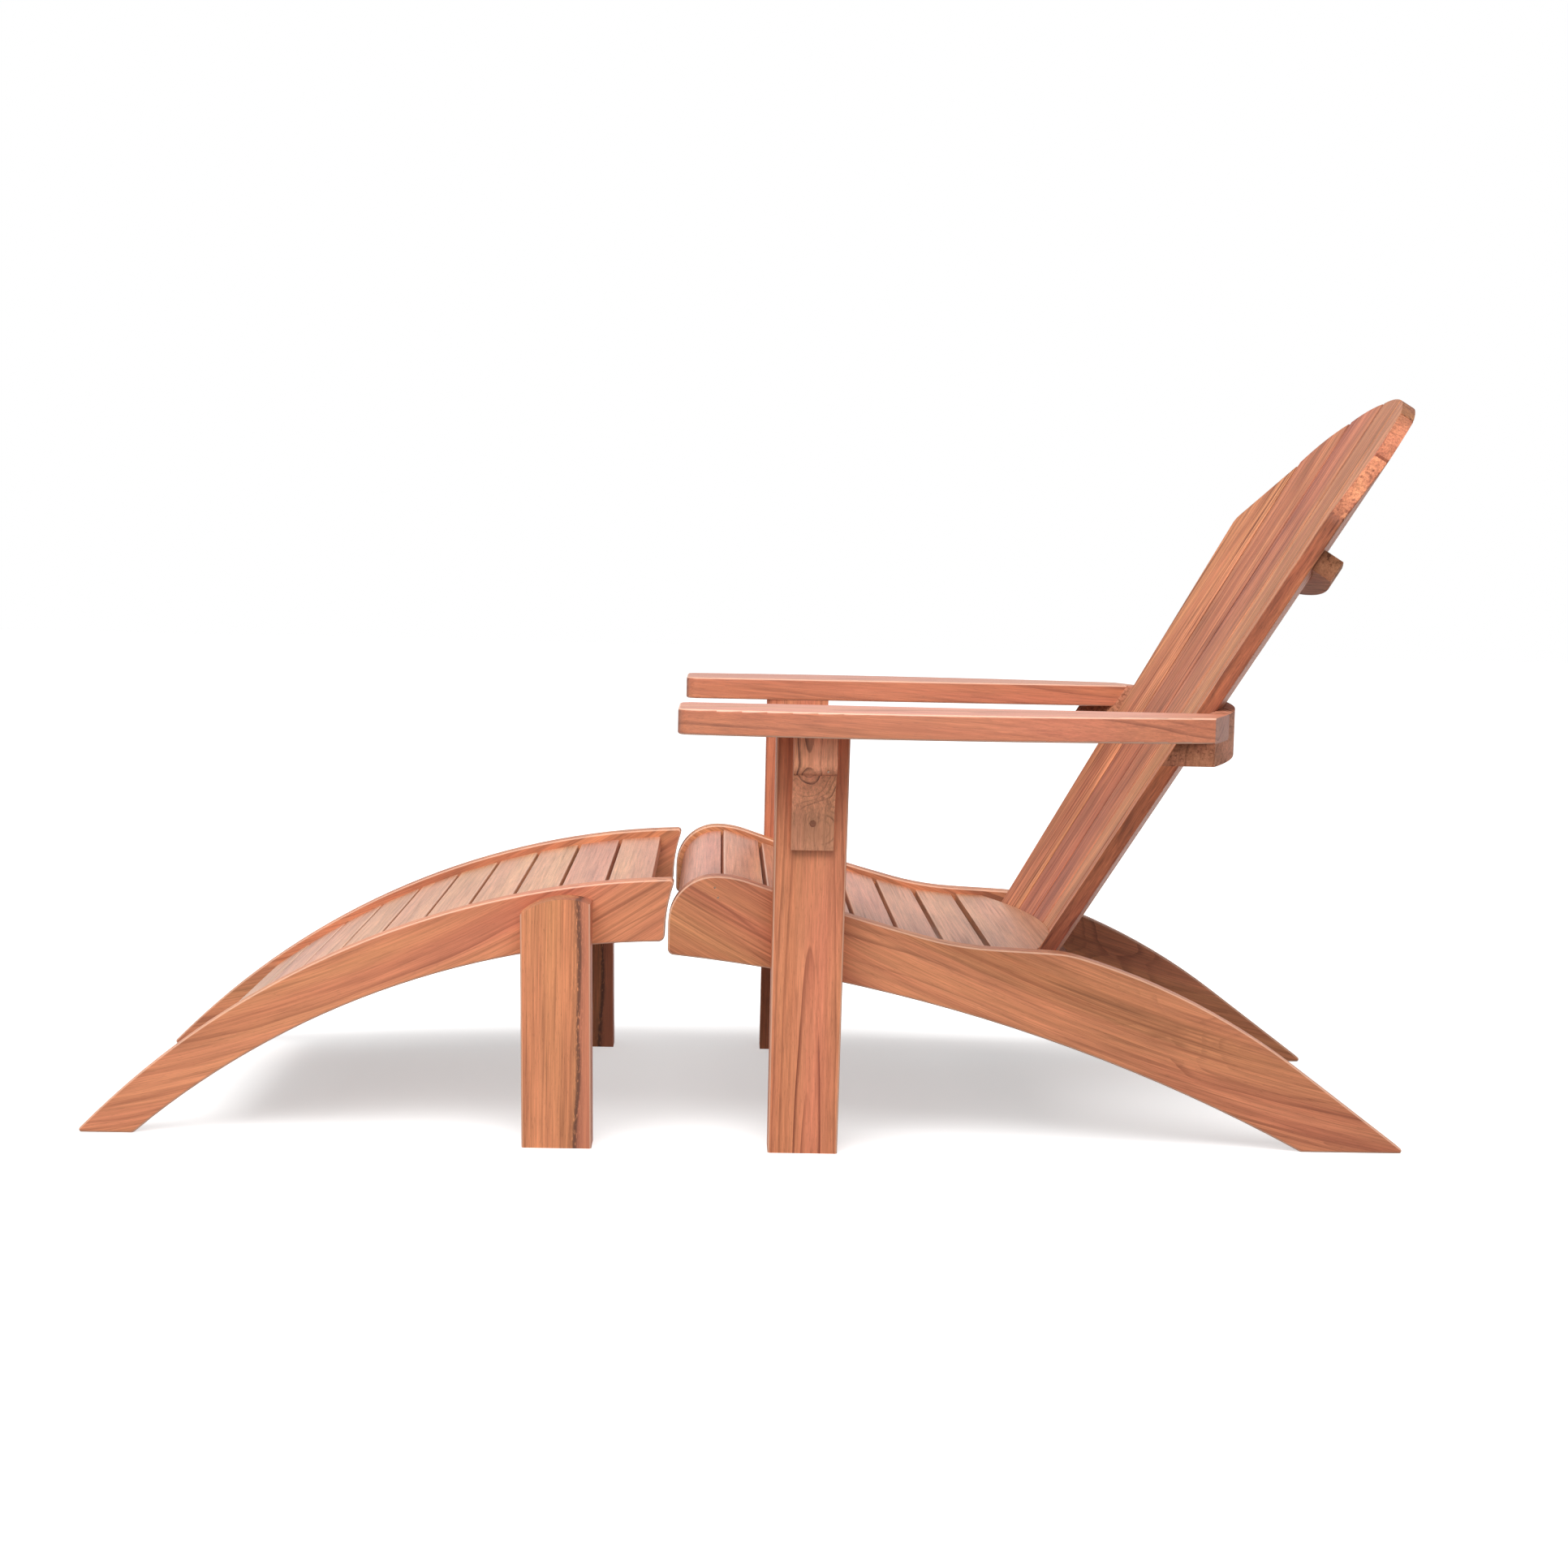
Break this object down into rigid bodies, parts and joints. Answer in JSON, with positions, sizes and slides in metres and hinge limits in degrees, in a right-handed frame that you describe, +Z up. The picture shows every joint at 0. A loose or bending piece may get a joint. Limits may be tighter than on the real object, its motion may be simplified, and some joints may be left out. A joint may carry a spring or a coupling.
{
  "type": "slatted garden armchair with footstool",
  "caption": "Low wooden garden armchair with a deep slatted seat, fanned hollow back and broad arms, and a loose slatted footstool that carries the seat line to the floor.",
  "frame": {"origin": "centre of the set's bounding box, on the floor", "axes": "+X from the footstool to the back, +Y to the sitter's right, +Z up"},
  "size_m": [1.6996, 0.8576, 0.9596],
  "materials": {
    "side_rails": "oiled, fine grain",
    "frame_wood": "oiled, fine grain",
    "armrests": "oiled, fine grain",
    "seat_slats": "oiled, fine grain",
    "back_slats": "oiled, fine grain",
    "stool_slats": "oiled, fine grain",
    "wood_plugs": "oiled, fine grain",
    "steel_fixings": "plain stainless steel",
    "brass_inserts": "turned brass"
  },
  "bodies": {
    "chair": {"left_seat_rail": "side_rails", "right_seat_rail": "side_rails", "left_front_leg": "frame_wood", "right_front_leg": "frame_wood", "left_armrest": "armrests", "right_armrest": "armrests", "left_arm_corbel": "frame_wood", "right_arm_corbel": "frame_wood", "seat_nose_slat": "seat_slats", "seat_slat_1": "seat_slats", "seat_slat_2": "seat_slats", "seat_slat_3": "seat_slats", "seat_slat_4": "seat_slats", "seat_slat_5": "seat_slats", "seat_slat_6": "seat_slats", "seat_rear_board": "seat_slats", "back_slat_1": "back_slats", "back_slat_2": "back_slats", "back_slat_3": "back_slats", "back_slat_4": "back_slats", "back_slat_5": "back_slats", "back_slat_6": "back_slats", "back_slat_7": "back_slats", "arm_cross_rail": "frame_wood", "upper_back_brace": "frame_wood", "lower_back_rail": "frame_wood", "leg_bolts": "steel_fixings", "leg_bolt_washers": "steel_fixings", "leg_bolt_inserts": "brass_inserts", "back_slat_screws": "steel_fixings", "arm_lap_screws": "steel_fixings", "corbel_screws": "steel_fixings", "finishing_nails": "steel_fixings", "arm_dowels": "wood_plugs", "corbel_plugs": "wood_plugs"},
    "footstool": {"left_stool_rail": "side_rails", "right_stool_rail": "side_rails", "left_stool_leg": "frame_wood", "right_stool_leg": "frame_wood", "stool_slat_1": "stool_slats", "stool_slat_2": "stool_slats", "stool_slat_3": "stool_slats", "stool_slat_4": "stool_slats", "stool_slat_5": "stool_slats", "stool_slat_6": "stool_slats", "stool_slat_7": "stool_slats", "stool_slat_8": "stool_slats", "stool_slat_9": "stool_slats", "stool_slat_10": "stool_slats", "stool_leg_bolts": "steel_fixings", "stool_leg_bolt_washers": "steel_fixings", "stool_leg_bolt_inserts": "brass_inserts"}
  },
  "joints": [
    {"name": "footstool_pull", "type": "slide", "parent": "chair", "child": "footstool", "axis": [-1, 0, 0], "range_m": [0, 0.5]}
  ]
}
